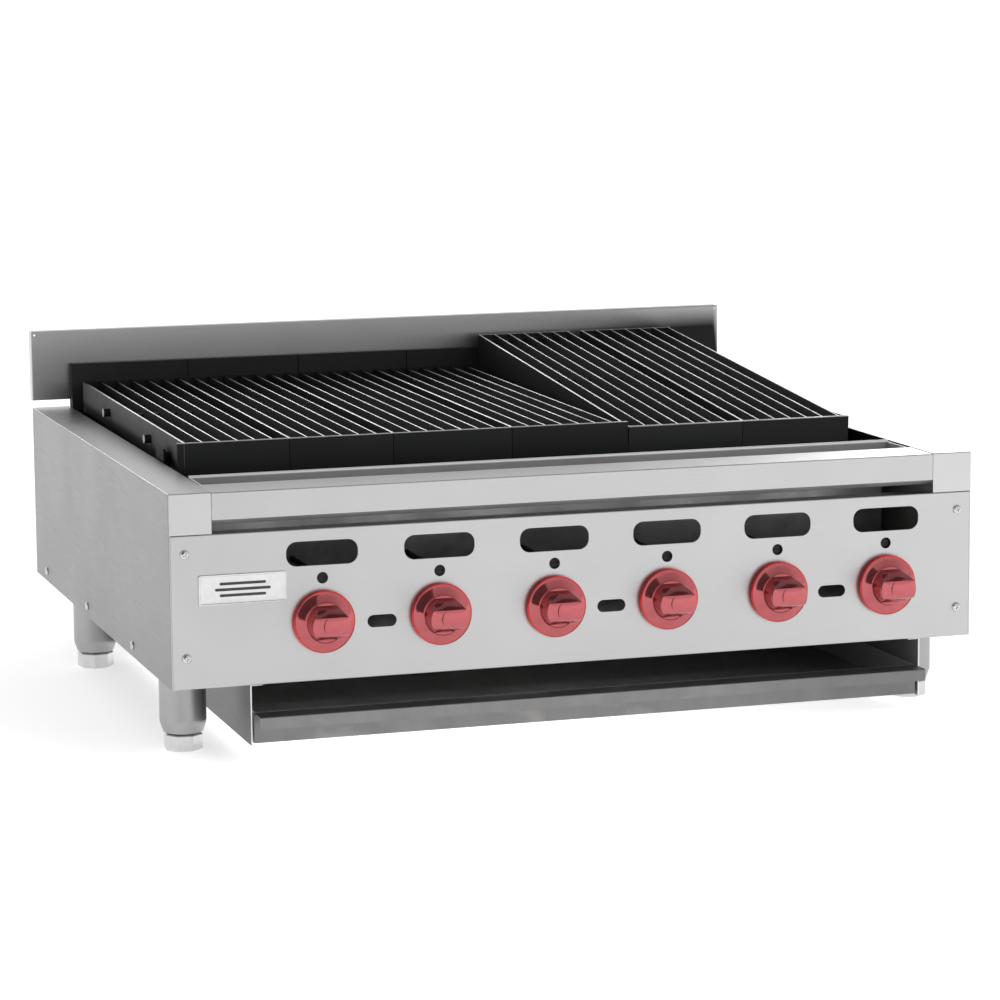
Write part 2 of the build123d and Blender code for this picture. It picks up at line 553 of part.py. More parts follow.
with BuildPart() as drip_pan:
    pan_x = (BAY_LEFT + 4.0, BAY_RIGHT - 4.0)
    pan_y = (FRONT + 6.0, FRONT + BAY_DEPTH - 8.0)
    pan_z = (BAY_BOTTOM + SHEET + 0.5, BASE - 31.0)
    slab(pan_x, pan_y, pan_z)
    slab((pan_x[0] + SHEET, pan_x[1] - SHEET), (pan_y[0] + SHEET, pan_y[1] - SHEET),
         (pan_z[0] + SHEET, pan_z[1] + 1.0), Mode.SUBTRACT)
    slab(pan_x, (FRONT - 22.0, pan_y[0] + SHEET), (pan_z[1] - SHEET, pan_z[1]))
    slab(pan_x, (FRONT - 22.0, FRONT - 22.0 + SHEET), (pan_z[1] - 13.0, pan_z[1]))
    fillet(edges_at(drip_pan, Axis.X, Y=FRONT - 22.0, Z=pan_z[1]), BEND)
save(drip_pan, "drip_pan")

# ---------------------------------------------------------------- legs and feet
TUBE_FOOT = FOOT_HEIGHT + 2.0     # lower end of the leg tubes above the counter
NECK_HEIGHT = 11.0                # the tubes draw in over this height at their lower end
FOOT_R = 21.5                     # to the corners of the eight-sided feet
SCREW_R = 8.0
SCREW_LENGTH = 38.0
STUD_R = 6.0                      # weld stud that fixes each leg to the base frame

with BuildPart() as leg_tubes:
    for side in (-1, 1):
        for y in LEG_Y:
            x = side * LEG_X
            rod_z(LEG_R, x, y, (TUBE_FOOT + NECK_HEIGHT, BASE))
            with Locations((x, y, TUBE_FOOT + NECK_HEIGHT / 2)):
                Cone(bottom_radius=FOOT_R, top_radius=LEG_R, height=NECK_HEIGHT)
    shoulders = leg_tubes.edges().filter_by(GeomType.CIRCLE).group_by(Axis.Z)[1]
    fillet(shoulders, 14.0)
    for side in (-1, 1):
        for y in LEG_Y:
            x = side * LEG_X
            rod_z(LEG_R - 2.0, x, y, (TUBE_FOOT + 20.0, BASE - 4.0), Mode.SUBTRACT)
            rod_z(SCREW_R + FIT, x, y, (TUBE_FOOT - 1.0, TUBE_FOOT + 21.0), Mode.SUBTRACT)
            rod_z(STUD_R, x, y, (BASE - 2.0, BASE + 6.0))
save(leg_tubes, "leg_tubes")


def foot(name, x, y, turn):
    """Levelling foot: an eight-sided pad, turned by hand, on a screw."""
    with BuildPart() as pad:
        with BuildSketch(Plane.XY):
            with Locations((x, y)):
                RegularPolygon(FOOT_R, 8, rotation=turn)
        extrude(amount=FOOT_HEIGHT)
        chamfer(pad.edges().group_by(Axis.Z)[-1], 1.2)
        chamfer(pad.edges().group_by(Axis.Z)[0], 1.5)
        rod_z(SCREW_R, x, y, (FOOT_HEIGHT - 1.0, FOOT_HEIGHT + SCREW_LENGTH))
    save(pad, name)


foot("foot_front_left", -LEG_X, LEG_Y[0], 17.4)
foot("foot_front_right", LEG_X, LEG_Y[0], 4.0)
foot("foot_rear_left", -LEG_X, LEG_Y[1], 31.0)
foot("foot_rear_right", LEG_X, LEG_Y[1], 9.0)
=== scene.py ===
"""Looks for the countertop gas charbroiler: studio, materials and the detailed visible pieces.

Metres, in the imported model's own frame: +X is the operator's right, the control panel faces -Y, +Z is up.
"""
import json
import math

import bmesh
import bpy
from mathutils import Matrix, Vector, noise


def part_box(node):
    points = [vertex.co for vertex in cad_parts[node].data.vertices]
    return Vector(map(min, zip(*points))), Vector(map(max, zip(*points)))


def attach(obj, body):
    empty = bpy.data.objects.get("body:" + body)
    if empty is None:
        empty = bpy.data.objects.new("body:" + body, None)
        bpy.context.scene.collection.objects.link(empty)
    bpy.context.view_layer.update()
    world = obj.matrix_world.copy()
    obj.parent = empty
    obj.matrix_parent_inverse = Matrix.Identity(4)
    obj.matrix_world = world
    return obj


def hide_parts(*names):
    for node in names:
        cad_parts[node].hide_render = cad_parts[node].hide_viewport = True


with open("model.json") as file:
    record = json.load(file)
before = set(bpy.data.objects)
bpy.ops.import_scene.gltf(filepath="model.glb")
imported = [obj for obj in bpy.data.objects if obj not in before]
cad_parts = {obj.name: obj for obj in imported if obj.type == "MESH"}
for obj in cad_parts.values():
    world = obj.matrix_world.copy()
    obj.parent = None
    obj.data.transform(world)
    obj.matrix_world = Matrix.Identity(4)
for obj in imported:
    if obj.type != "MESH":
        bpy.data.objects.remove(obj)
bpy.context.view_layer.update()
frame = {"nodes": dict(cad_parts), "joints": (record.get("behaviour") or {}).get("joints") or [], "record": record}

MM = 0.001
NODES = frame["nodes"]
PARTS = bpy.context.scene.collection
BODY_OF = {node: body for body, members in frame["record"]["behaviour"]["bodies"].items() for node in members}
JOINTS = {joint["name"]: joint for joint in frame["joints"]}

# driving dimensions of the remade pieces
GRATE_RIBS = (6, 6, 7, 7, 7, 7)        # from the left
RIB_PITCH = 19.85 * MM
GRATE_TILTS = (0.5, 0.5, 0.5, 0.5, 5.0, 5.0)
GRATE_FRONT = -75.0 * MM               # grate ends and heights, from the pivot rod
GRATE_REAR = 504.0 * MM
GRATE_TOP = 24.5 * MM
RIB_LOW = GRATE_TOP - 17.0 * MM
WALL_LOW = -12.0 * MM
CROWN_R = 0.95 * MM                    # rounded crown of a rib
BAR_R = 6.3 * MM                       # saddle over the pivot rod
BOSSES = ((100.0 * MM, 6.6 * MM), (335.0 * MM, 7.1 * MM))
BOSS_R = 5.0 * MM
BOSS_REACH = 8.5 * MM                  # only the first grate has bosses, on its outer wall
APRON_REACH = 7.5 * MM                 # its apron runs past its wall too
RAISED = (4, 5)                        # grates stored in the high position
WALL_PAINTED_LIGHT = 0.11                       # painted light on the first grate's outer wall
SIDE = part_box("left_side_panel")[0].x * -1
TROUGH_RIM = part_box("grease_trough")[1].z
PAN_INSIDE = 29.5 * MM                 # from the tip of the pan's lip to the inside of its front wall
NOISE_SEED = 7                         # without one, the ribs' wander would change from run to run

noise.seed_set(NOISE_SEED)


# ---------------------------------------------------------------- studio
CAMERA_PLACE = (-1.2208, -3.9536, 0.830)
CAMERA_YAW = math.radians(17.551)      # to the right of +Y
CAMERA_PITCH = math.radians(8.576)     # below level
CAMERA_ROLL = math.radians(-0.497)
LENS_MM = 127.0
SENSOR_MM = 36.0
CARD_OUTLINE = ((0.15, 1.25), (-0.5, 0.35), (-0.8, 0.0), (-3.2, 0.0), (-2.8, 2.0), (-1.1, 3.4))
CARD_Y = -3.3
FLOOR_GLOW = 0.55                      # light-table floor, so that it reads as white


def add_camera():
    """Camera at the reference view, turned by yaw, pitch and roll."""
    yaw, pitch, roll = CAMERA_YAW, CAMERA_PITCH, CAMERA_ROLL
    ahead = Vector((math.sin(yaw) * math.cos(pitch), math.cos(yaw) * math.cos(pitch), -math.sin(pitch)))
    level = Vector((math.cos(yaw), -math.sin(yaw), 0.0))
    upright = level.cross(ahead)
    right = level * math.cos(roll) + upright * math.sin(roll)
    up = upright * math.cos(roll) - level * math.sin(roll)
    data = bpy.data.cameras.new("camera")
    data.lens = LENS_MM
    data.sensor_width = SENSOR_MM
    data.clip_end = 500.0
    camera = bpy.data.objects.new("camera", data)
    turn = Matrix((right, up, -ahead)).transposed()
    camera.matrix_world = Matrix.Translation(CAMERA_PLACE) @ turn.to_4x4()
    PARTS.objects.link(camera)
    bpy.context.scene.camera = camera


def add_sky(level_light, high_light, ground_light):
    """Even studio surround, bright towards the horizon and softer overhead."""
    world = bpy.data.worlds.new("studio")
    bpy.context.scene.world = world
    world.use_nodes = True
    nodes, links = world.node_tree.nodes, world.node_tree.links
    place = nodes.new("ShaderNodeTexCoord")
    parts = nodes.new("ShaderNodeSeparateXYZ")
    ramp = nodes.new("ShaderNodeValToRGB")
    spread = nodes.new("ShaderNodeMapRange")
    spread.inputs["From Min"].default_value = -1.0
    links.new(place.outputs["Generated"], parts.inputs[0])
    links.new(parts.outputs["Z"], spread.inputs["Value"])
    links.new(spread.outputs[0], ramp.inputs[0])
    stops = ramp.color_ramp.elements
    stops[0].position, stops[0].color = 0.0, (ground_light, ground_light, ground_light, 1)
    stops[1].position, stops[1].color = 1.0, (high_light, high_light, high_light, 1)
    for position, share in ((0.5, 1.0), (0.6, 1.0), (0.78, 0.45)):
        light = high_light + (level_light - high_light) * share
        stop = stops.new(position)
        stop.color = (light, light, light, 1)
    links.new(ramp.outputs[0], nodes["Background"].inputs["Color"])


def add_softbox(name, place, aim, size, watts, mirrored=True):
    """Rectangular soft light that points at a place. It may be left out of reflections."""
    data = bpy.data.lights.new(name, "AREA")
    data.shape = "RECTANGLE"
    data.size, data.size_y = size
    data.energy = watts
    lamp = bpy.data.objects.new(name, data)
    lamp.location = place
    lamp.rotation_euler = (Vector(aim) - Vector(place)).to_track_quat("-Z", "Y").to_euler()
    lamp.visible_camera = False
    lamp.visible_glossy = mirrored
    PARTS.objects.link(lamp)


def add_flag(name, outline, y, light):
    """Dark card that shows only in reflections, as the camera's own place does in a real studio."""
    mesh = bpy.data.meshes.new(name)
    mesh.from_pydata([(x, y, z) for x, z in outline], [], [tuple(range(len(outline)))])
    cloth = Surface(name, roughness=1.0)
    weave = cloth.noise(30.0, detail=3.0)
    cloth.set(Base_Color=cloth.blend(cloth.spread(weave, (0.3, 0.7), (0.0, 1.0)), grey(light),
                                     grey(light * 1.3)))
    mesh.materials.append(cloth.material)
    card = bpy.data.objects.new(name, mesh)
    card.visible_camera = card.visible_diffuse = card.visible_shadow = False
    PARTS.objects.link(card)


# ---------------------------------------------------------------- materials
class Surface:
    """A Principled material and the few node helpers that its detail needs. Places are in metres."""

    def __init__(self, name, metallic=0.0, roughness=0.5, color=(0.5, 0.5, 0.5)):
        self.material = bpy.data.materials.new(name)
        self.material.use_nodes = True
        tree = self.material.node_tree
        self.nodes, self.links = tree.nodes, tree.links
        self.shader = self.nodes["Principled BSDF"]
        self.shader.inputs["Metallic"].default_value = metallic
        self.shader.inputs["Roughness"].default_value = roughness
        self.shader.inputs["Base Color"].default_value = (*color, 1)
        self.place = self.nodes.new("ShaderNodeTexCoord").outputs["Object"]

    def join(self, value, socket):
        """Link a node's output, or set a plain value."""
        if isinstance(value, bpy.types.NodeSocket):
            self.links.new(value, socket)
        else:
            socket.default_value = value

    def stretched(self, stretch):
        """The place, scaled unevenly."""
        node = self.nodes.new("ShaderNodeMapping")
        node.inputs["Scale"].default_value = stretch
        self.links.new(self.place, node.inputs["Vector"])
        return node.outputs[0]

    def noise(self, scale, stretch=(1.0, 1.0, 1.0), detail=3.0, roughness=0.5, distortion=0.0):
        node = self.nodes.new("ShaderNodeTexNoise")
        node.inputs["Scale"].default_value = scale
        node.inputs["Detail"].default_value = detail
        node.inputs["Roughness"].default_value = roughness
        node.inputs["Distortion"].default_value = distortion
        self.links.new(self.stretched(stretch), node.inputs["Vector"])
        return node.outputs[0]

    def cells(self, scale):
        node = self.nodes.new("ShaderNodeTexVoronoi")
        node.inputs["Scale"].default_value = scale
        self.links.new(self.stretched((1.0, 1.0, 1.0)), node.inputs["Vector"])
        return node.outputs["Distance"]

    def axis(self, letter, vector=None):
        """One coordinate of the place, or of another vector."""
        node = self.nodes.new("ShaderNodeSeparateXYZ")
        self.links.new(vector or self.place, node.inputs[0])
        return node.outputs[letter]

    def facing(self, letter):
        """One coordinate of the surface's own normal, in the piece's frame."""
        place = self.nodes.new("ShaderNodeTexCoord")
        return self.axis(letter, place.outputs["Normal"])

    def math(self, operation, first, second=0.0, third=0.0):
        node = self.nodes.new("ShaderNodeMath")
        node.operation = operation
        for value, socket in zip((first, second, third), node.inputs):
            self.join(value, socket)
        return node.outputs[0]

    def spread(self, value, source, target, smooth=False):
        """Map a value from one range to another, held at the ends."""
        node = self.nodes.new("ShaderNodeMapRange")
        node.interpolation_type = "SMOOTHSTEP" if smooth else "LINEAR"
        self.links.new(value, node.inputs["Value"])
        for name, number in zip(("From Min", "From Max", "To Min", "To Max"), (*source, *target)):
            node.inputs[name].default_value = number
        return node.outputs[0]

    def blend(self, factor, first, second):
        """Colour between two colours."""
        node = self.nodes.new("ShaderNodeMix")
        node.data_type = "RGBA"
        colors = [socket for socket in node.inputs if socket.type == "RGBA"]
        self.links.new(factor, node.inputs[0])
        for value, socket in zip((first, second), colors):
            self.join((*value, 1) if isinstance(value, tuple) else value, socket)
        return [socket for socket in node.outputs if socket.type == "RGBA"][0]

    def bump(self, height, strength, distance):
        """Raise the surface by a height, over what is raised already."""
        node = self.nodes.new("ShaderNodeBump")
        node.inputs["Strength"].default_value = strength
        node.inputs["Distance"].default_value = distance
        self.links.new(height, node.inputs["Height"])
        socket = self.shader.inputs["Normal"]
        if socket.is_linked:
            self.links.new(socket.links[0].from_socket, node.inputs["Normal"])
        self.links.new(node.outputs[0], socket)

    def set(self, **sockets):
        """Link or set shader sockets, named with underscores for spaces."""
        for name, value in sockets.items():
            self.join(value, self.shader.inputs[name.replace("_", " ")])
        return self


def grey(value, warmth=0.0):
    """Neutral colour, a little warmer or cooler."""
    return (value * (1 + warmth), value, value * (1 - warmth))


def brushed_steel(name, shade, grain, roughness=0.36, side_painted_shade=1.0):
    """Stainless sheet: fine lines along one axis, faint smears and a few hair scratches.

    A side panel is given a factor of painted shade: its faces turned to the sides are darkened by that much, its
    ledge is darkened next to the grates as painted shade, the ledge's inward-facing lip is made nearly black as
    painted shade, and its inner face is painted pale and matt as painted light."""
    along = {"x": (1.0, 60.0, 60.0), "y": (60.0, 1.0, 60.0), "z": (60.0, 60.0, 1.0)}[grain]
    steel = Surface(name, metallic=1.0)
    lines = steel.noise(14.0, along, detail=6.0, roughness=0.62)
    hair = steel.noise(55.0, along, detail=3.0, roughness=0.7)
    smears = steel.noise(5.5, detail=4.0, roughness=0.55, distortion=0.6)
    scratches = steel.noise(9.0, tuple(9.0 if scale == 1.0 else scale for scale in along), detail=1.0)
    tint = steel.spread(lines, (0.25, 0.75), (0.0, 1.0))
    cloudy = steel.blend(steel.spread(smears, (0.35, 0.7), (0.0, 0.5)), grey(shade), grey(shade * 0.93, 0.01))
    color = steel.blend(tint, cloudy, grey(shade * 1.06, -0.006))
    gloss = steel.spread(lines, (0.3, 0.7), (roughness - 0.05, roughness + 0.05))
    dull = steel.spread(smears, (0.4, 0.75), (0.0, 0.05))
    if side_painted_shade < 1.0:
        # painted shade on the ledge's upward faces next to the grates, less at the front and at the rear
        inward = steel.spread(steel.math("ABSOLUTE", steel.axis("X")), (SIDE - 50 * MM, SIDE - 12 * MM),
                              (1.0, 0.0), smooth=True)
        behind = steel.spread(steel.axis("Y"), (-SIDE * 0.8, -SIDE * 0.2), (0.45, 1.0), smooth=True)
        level = steel.spread(steel.facing("Z"), (0.7, 0.95), (0.0, 1.0))
        painted_ledge_shade = steel.math("MULTIPLY", steel.math("MULTIPLY", inward, behind), level)
        clear = steel.spread(steel.axis("Y"), (SIDE * 0.3, SIDE * 0.75), (1.0, 0.35), smooth=True)
        color = steel.blend(steel.math("MULTIPLY", painted_ledge_shade, clear), color, grey(shade * 0.46))
        # painted shade: faces turned to the sides get a darker copy of the colour
        turned = steel.spread(steel.math("ABSOLUTE", steel.facing("X")), (0.3, 0.9), (0.0, 1.0), smooth=True)
        painted_flank_shade = steel.blend(tint, grey(shade * side_painted_shade * 0.97), grey(shade * side_painted_shade * 1.03))
        color = steel.blend(turned, color, painted_flank_shade)
        outward = steel.math("MULTIPLY", steel.facing("X"), steel.axis("X"))
        # painted shade: the inward-facing lip in the gap beside the grates is made nearly black
        lip = steel.spread(outward, (-SIDE * 0.8, -SIDE * 0.6), (1.0, 0.0))
        color = steel.blend(lip, color, grey(shade * 0.06))
        # painted light: the inner face is pale and matt, so the unlit inside seen through the slots reads grey
        inner = steel.spread(outward, (-SIDE + 12 * MM, -SIDE + 27 * MM), (1.0, 0.0))
        color = steel.blend(inner, color, grey(0.9))
        steel.set(Metallic=steel.math("SUBTRACT", 1.0, inner))
    steel.set(Base_Color=color, Roughness=steel.math("ADD", gloss, dull))
    steel.bump(hair, 0.10, 0.00012)
    steel.bump(steel.spread(scratches, (0.68, 0.72), (1.0, 0.0)), 0.05, 0.0001)
    return steel.material


def heated_steel(name, shade, low, high):
    """Backsplash sheet: brushed, its face darkened by random smoke, more towards the bottom and the right, with a
    painted dark reflection of the raised grates low down at the right end.
    """
    steel = Surface(name, metallic=1.0)
    lines = steel.noise(14.0, (1.0, 60.0, 60.0), detail=6.0, roughness=0.62)
    smoke = steel.noise(4.0, (0.6, 1.0, 1.6), detail=5.0, roughness=0.6, distortion=0.7)
    rise = steel.spread(steel.axis("Z"), (low, high), (1.0, 0.0))
    across = steel.spread(steel.axis("X"), (-SIDE, SIDE * 0.8), (0.0, 1.0))
    end = steel.spread(steel.axis("X"), (SIDE * 0.3, SIDE * 0.95), (0.0, 1.0), smooth=True)
    smoke_and_painted_shade = steel.math("MULTIPLY_ADD", smoke, 0.30, steel.math("MULTIPLY_ADD", rise, 0.22, -0.18))
    smoke_and_painted_shade = steel.math("MULTIPLY_ADD", across, 0.40, smoke_and_painted_shade)
    # painted shade: a dark reflection of the raised grates, low down at the right end
    smoke_and_painted_shade = steel.math("MULTIPLY_ADD", steel.math("MULTIPLY", end, rise), 2.1, smoke_and_painted_shade)
    edge = steel.spread(steel.axis("X"), (SIDE - 7 * MM, SIDE - 1 * MM), (1.0, 0.45), smooth=True)
    inner = steel.spread(steel.facing("Y"), (-0.5, -0.3), (1.0, 0.0))
    smoke_and_painted_shade = steel.math("MULTIPLY", steel.math("MULTIPLY", smoke_and_painted_shade, edge), inner)
    clean = steel.blend(steel.spread(lines, (0.25, 0.75), (0.0, 1.0)), grey(shade * 0.95), grey(shade * 1.05))
    color = steel.blend(steel.spread(smoke_and_painted_shade, (0.0, 1.0), (0.0, 1.0)), clean, grey(shade * 0.04, -0.03))
    steel.set(Base_Color=color, Roughness=steel.spread(smoke_and_painted_shade, (0.0, 1.0), (0.30, 0.46)))
    steel.bump(lines, 0.08, 0.00012)
    return steel.material


def bay_sheet(name, shade, inner):
    """Pan bay sheet: brushed outside; its other faces are matt and painted pale as painted light, which shows as a
    highlight along its front edges, and its inner sides are painted dark as painted shade.
    """
    sheet = Surface(name)
    lines = sheet.noise(14.0, (60.0, 1.0, 60.0), detail=6.0, roughness=0.62)
    film = sheet.noise(12.0, detail=4.0, roughness=0.6)
    outward = sheet.math("MULTIPLY", sheet.facing("X"), sheet.axis("X"))
    outer = sheet.spread(outward, (SIDE * 0.4, SIDE * 0.6), (0.0, 1.0))
    clean = sheet.blend(sheet.spread(lines, (0.25, 0.75), (0.0, 1.0)), grey(shade * 0.95), grey(shade * 1.05))
    # painted light: faces that do not face outward are pale and matt
    painted_light_and_shade = sheet.blend(sheet.spread(film, (0.3, 0.7), (0.0, 1.0)), grey(inner), grey(inner * 0.85, 0.01))
    inward = sheet.spread(outward, (-SIDE * 0.6, -SIDE * 0.4), (1.0, 0.0))
    # painted shade: the inner sides are made dark
    painted_light_and_shade = sheet.blend(inward, painted_light_and_shade, grey(inner * 0.2))
    sheet.set(Base_Color=sheet.blend(outer, painted_light_and_shade, clean), Metallic=outer,
              Roughness=sheet.spread(lines, (0.3, 0.7), (0.36, 0.46)))
    sheet.bump(lines, 0.08, 0.00012)
    return sheet.material


def greasy_trough(name, shade, outside_y):
    """Trough sheet: its outside painted pale as painted light, where it lies in shade behind the rail, filmed with
    grey grease inside, with a painted highlight along its rolled edge.
    """
    sheet = Surface(name)
    lines = sheet.noise(14.0, (1.0, 60.0, 60.0), detail=5.0)
    runs = sheet.noise(9.0, (1.0, 1.0, 0.4), detail=5.0, distortion=0.8)
    inside = sheet.spread(sheet.axis("Y"), (outside_y, outside_y + 1 * MM), (0.0, 1.0))
    film = sheet.spread(runs, (0.3, 0.7), (0.25, 1.0))
    # painted light: the outside is much paler than the casing steel, though it lies in shade
    plain = sheet.blend(lines, grey(0.80), grey(0.90))
    greasy = sheet.blend(film, grey(shade * 1.2), grey(shade * 0.8, 0.03))
    # painted highlight: the rolled rim is coloured near white
    edge = sheet.spread(sheet.axis("Z"), (TROUGH_RIM - 3.5 * MM, TROUGH_RIM - 2 * MM), (0.0, 1.0), smooth=True)
    color = sheet.blend(edge, sheet.blend(inside, plain, greasy), grey(0.92))
    gloss = sheet.spread(runs, (0.3, 0.7), (0.3, 0.5))
    gloss = sheet.math("MULTIPLY", gloss, sheet.spread(inside, (0.0, 1.0), (0.5, 1.0)))
    matt = sheet.math("SUBTRACT", inside, edge)
    sheet.set(Base_Color=color, Roughness=gloss, Metallic=sheet.spread(matt, (0.0, 1.0), (1.0, 0.35)))
    sheet.bump(runs, 0.12, 0.0005)
    return sheet.material


def dulled_sheet(name, shade, warmth=0.02, painted_light_z=None):
    """Liner sheet near the fire: dulled, with brown heat tint and grease film, painted paler above a given height
    as painted light.
    """
    sheet = Surface(name, metallic=0.85)
    clouds = sheet.noise(7.0, detail=6.0, roughness=0.62, distortion=0.8)
    spots = sheet.noise(60.0, detail=3.0)
    film = sheet.spread(clouds, (0.35, 0.68), (0.0, 1.0), smooth=True)
    color = sheet.blend(film, grey(shade, warmth), grey(shade * 0.55, warmth * 4))
    if painted_light_z is not None:
        # painted light: paler above the given height
        clean = sheet.spread(sheet.axis("Z"), (painted_light_z - 12 * MM, painted_light_z + 12 * MM), (0.0, 1.0), smooth=True)
        color = sheet.blend(clean, color, sheet.blend(film, grey(0.88), grey(0.62, 0.02)))
    sheet.set(Base_Color=color, Roughness=sheet.spread(spots, (0.3, 0.7), (0.38, 0.58)))
    sheet.bump(spots, 0.12, 0.0004)
    return sheet.material


def cast_iron(name, shade, roughness=0.62, warmth=0.02):
    """Sand-cast iron: pebbled skin, uneven seasoning and small pits."""
    iron = Surface(name, metallic=0.05)
    iron.set(Specular_IOR_Level=0.35)
    sand = iron.noise(900.0, detail=4.0, roughness=0.65)
    pits = iron.cells(420.0)
    seasoning = iron.noise(16.0, detail=5.0, roughness=0.6, distortion=0.5)
    color = iron.blend(iron.spread(seasoning, (0.3, 0.7), (0.0, 1.0)), grey(shade * 0.8, warmth),
                       grey(shade * 1.35, warmth * 2))
    iron.set(Base_Color=color,
             Roughness=iron.spread(seasoning, (0.3, 0.7), (roughness - 0.1, roughness + 0.08)))
    iron.bump(sand, 0.35, 0.0006)
    iron.bump(iron.spread(pits, (0.0, 0.35), (0.0, 1.0)), 0.21, 0.0005)
    return iron.material


def scraped_grate(name, shade, crown, rear_wear_and_light, wall_x=None):
    """Grate iron with its rib crowns scraped bright, partly as real wear and partly as a painted highlight, fading
    towards the rear by a given share as painted shade. The piece lies in its own frame.

    An outer wall left of wall_x is painted grey as painted light, more towards the top, and the tips of its bosses
    are painted pale as painted highlights."""
    iron = Surface(name)
    iron.set(Specular_IOR_Level=0.08)
    sand = iron.noise(850.0, detail=4.0, roughness=0.65)
    seasoning = iron.noise(18.0, detail=5.0, roughness=0.6, distortion=0.5)
    ragged = iron.noise(260.0, (1.0, 0.25, 1.0), detail=4.0, roughness=0.6)
    dark = iron.blend(iron.spread(seasoning, (0.3, 0.7), (0.0, 1.0)), grey(shade * 0.8, -0.02),
                      grey(shade * 1.3, 0.0))
    # painted light: the apron's front face is lighter than the rest of the iron
    apron = iron.spread(iron.axis("Y"), (GRATE_FRONT, GRATE_FRONT + 0.5 * MM), (1.0, 0.0))
    dark = iron.blend(apron, dark, grey(shade * 1.9, -0.03))
    if wall_x is not None:
        # painted light on the outer wall, fading out lower down
        across = iron.axis("X")
        outside = iron.math("MULTIPLY", iron.spread(across, (wall_x + 0.1 * MM, wall_x + 0.3 * MM), (1.0, 0.0)),
                            iron.spread(across, (wall_x - 0.4 * MM, wall_x - 0.2 * MM), (0.0, 1.0)))
        lit = iron.spread(iron.axis("Z"), (crown - 30 * MM, crown - 20 * MM), (0.1, 1.0), smooth=True)
        dark = iron.blend(iron.math("MULTIPLY", outside, lit), dark, grey(WALL_PAINTED_LIGHT))
        # painted highlight: the bosses' tips are pale
        tips = iron.spread(across, (wall_x - BOSS_REACH, wall_x - BOSS_REACH + 0.7 * MM), (1.0, 0.0))
        tips = iron.math("MULTIPLY", tips,
                         iron.spread(iron.axis("Y"), (GRATE_FRONT + 8 * MM, GRATE_FRONT + 9 * MM), (0.0, 1.0)))
        dark = iron.blend(tips, dark, grey(0.55))
    # scraped crowns and painted highlight: bright metal along the rib tops, less on the apron, fading at the rear
    # as painted shade
    height = iron.math("MULTIPLY_ADD", ragged, 0.16 * MM, iron.axis("Z"))
    scrape_and_highlight = iron.spread(height, (crown - 0.5 * MM, crown - 0.12 * MM), (0.0, 1.0), smooth=True)
    along = iron.axis("Y")
    rear = iron.spread(along, (GRATE_REAR - 110 * MM, GRATE_REAR - 8 * MM), (1.0, rear_wear_and_light), smooth=True)
    front = iron.spread(along, (GRATE_FRONT + 2.5 * MM, GRATE_FRONT + 4.5 * MM), (0.35, 1.0))
    scrape_and_highlight = iron.math("MULTIPLY", iron.math("MULTIPLY", scrape_and_highlight, rear), front)
    steel = iron.blend(iron.spread(ragged, (0.35, 0.7), (0.0, 1.0)), grey(0.86), grey(0.72, 0.01))
    color = iron.blend(scrape_and_highlight, dark, steel)
    rough = iron.spread(seasoning, (0.3, 0.7), (0.55, 0.72))
    rough = iron.math("MULTIPLY_ADD", scrape_and_highlight, -0.25, rough)
    iron.set(Base_Color=color, Roughness=rough, Metallic=scrape_and_highlight)
    iron.bump(sand, 0.3, 0.0006)
    return iron.material


def black_finish(name, shade):
    """Black heat-resistant coating, slightly chalky, with rubbed spots."""
    coat = Surface(name)
    rubbed = coat.noise(35.0, detail=5.0, roughness=0.6)
    orange = coat.noise(1400.0, detail=2.0)
    color = coat.blend(coat.spread(rubbed, (0.4, 0.75), (0.0, 1.0)), grey(shade), grey(shade * 1.8, 0.02))
    coat.set(Base_Color=color, Roughness=coat.spread(rubbed, (0.3, 0.7), (0.5, 0.7)), Specular_IOR_Level=0.15)
    coat.bump(orange, 0.15, 0.0002)
    return coat.material


def machined_brass(name):
    """Turned brass with tarnish in patches."""
    brass = Surface(name, metallic=1.0)
    turned = brass.noise(40.0, (8.0, 60.0, 8.0), detail=4.0)
    tarnish = brass.noise(60.0, detail=4.0, roughness=0.6)
    color = brass.blend(brass.spread(tarnish, (0.42, 0.7), (0.0, 1.0)), (0.62, 0.44, 0.17), (0.36, 0.24, 0.10))
    brass.set(Base_Color=color, Roughness=brass.spread(turned, (0.3, 0.7), (0.24, 0.42)))
    brass.bump(turned, 0.08, 0.0002)
    return brass.material


def plated(name, shade, roughness=0.2):
    """Zinc or nickel plating: bright, with faint clouding and tiny nicks."""
    plate = Surface(name, metallic=1.0)
    clouds = plate.noise(120.0, detail=4.0)
    nicks = plate.noise(900.0, detail=2.0)
    color = plate.blend(plate.spread(clouds, (0.35, 0.7), (0.0, 1.0)), grey(shade), grey(shade * 0.94, 0.005))
    plate.set(Base_Color=color, Roughness=plate.spread(clouds, (0.3, 0.7), (roughness, roughness + 0.05)))
    plate.bump(nicks, 0.05, 0.0002)
    return plate.material


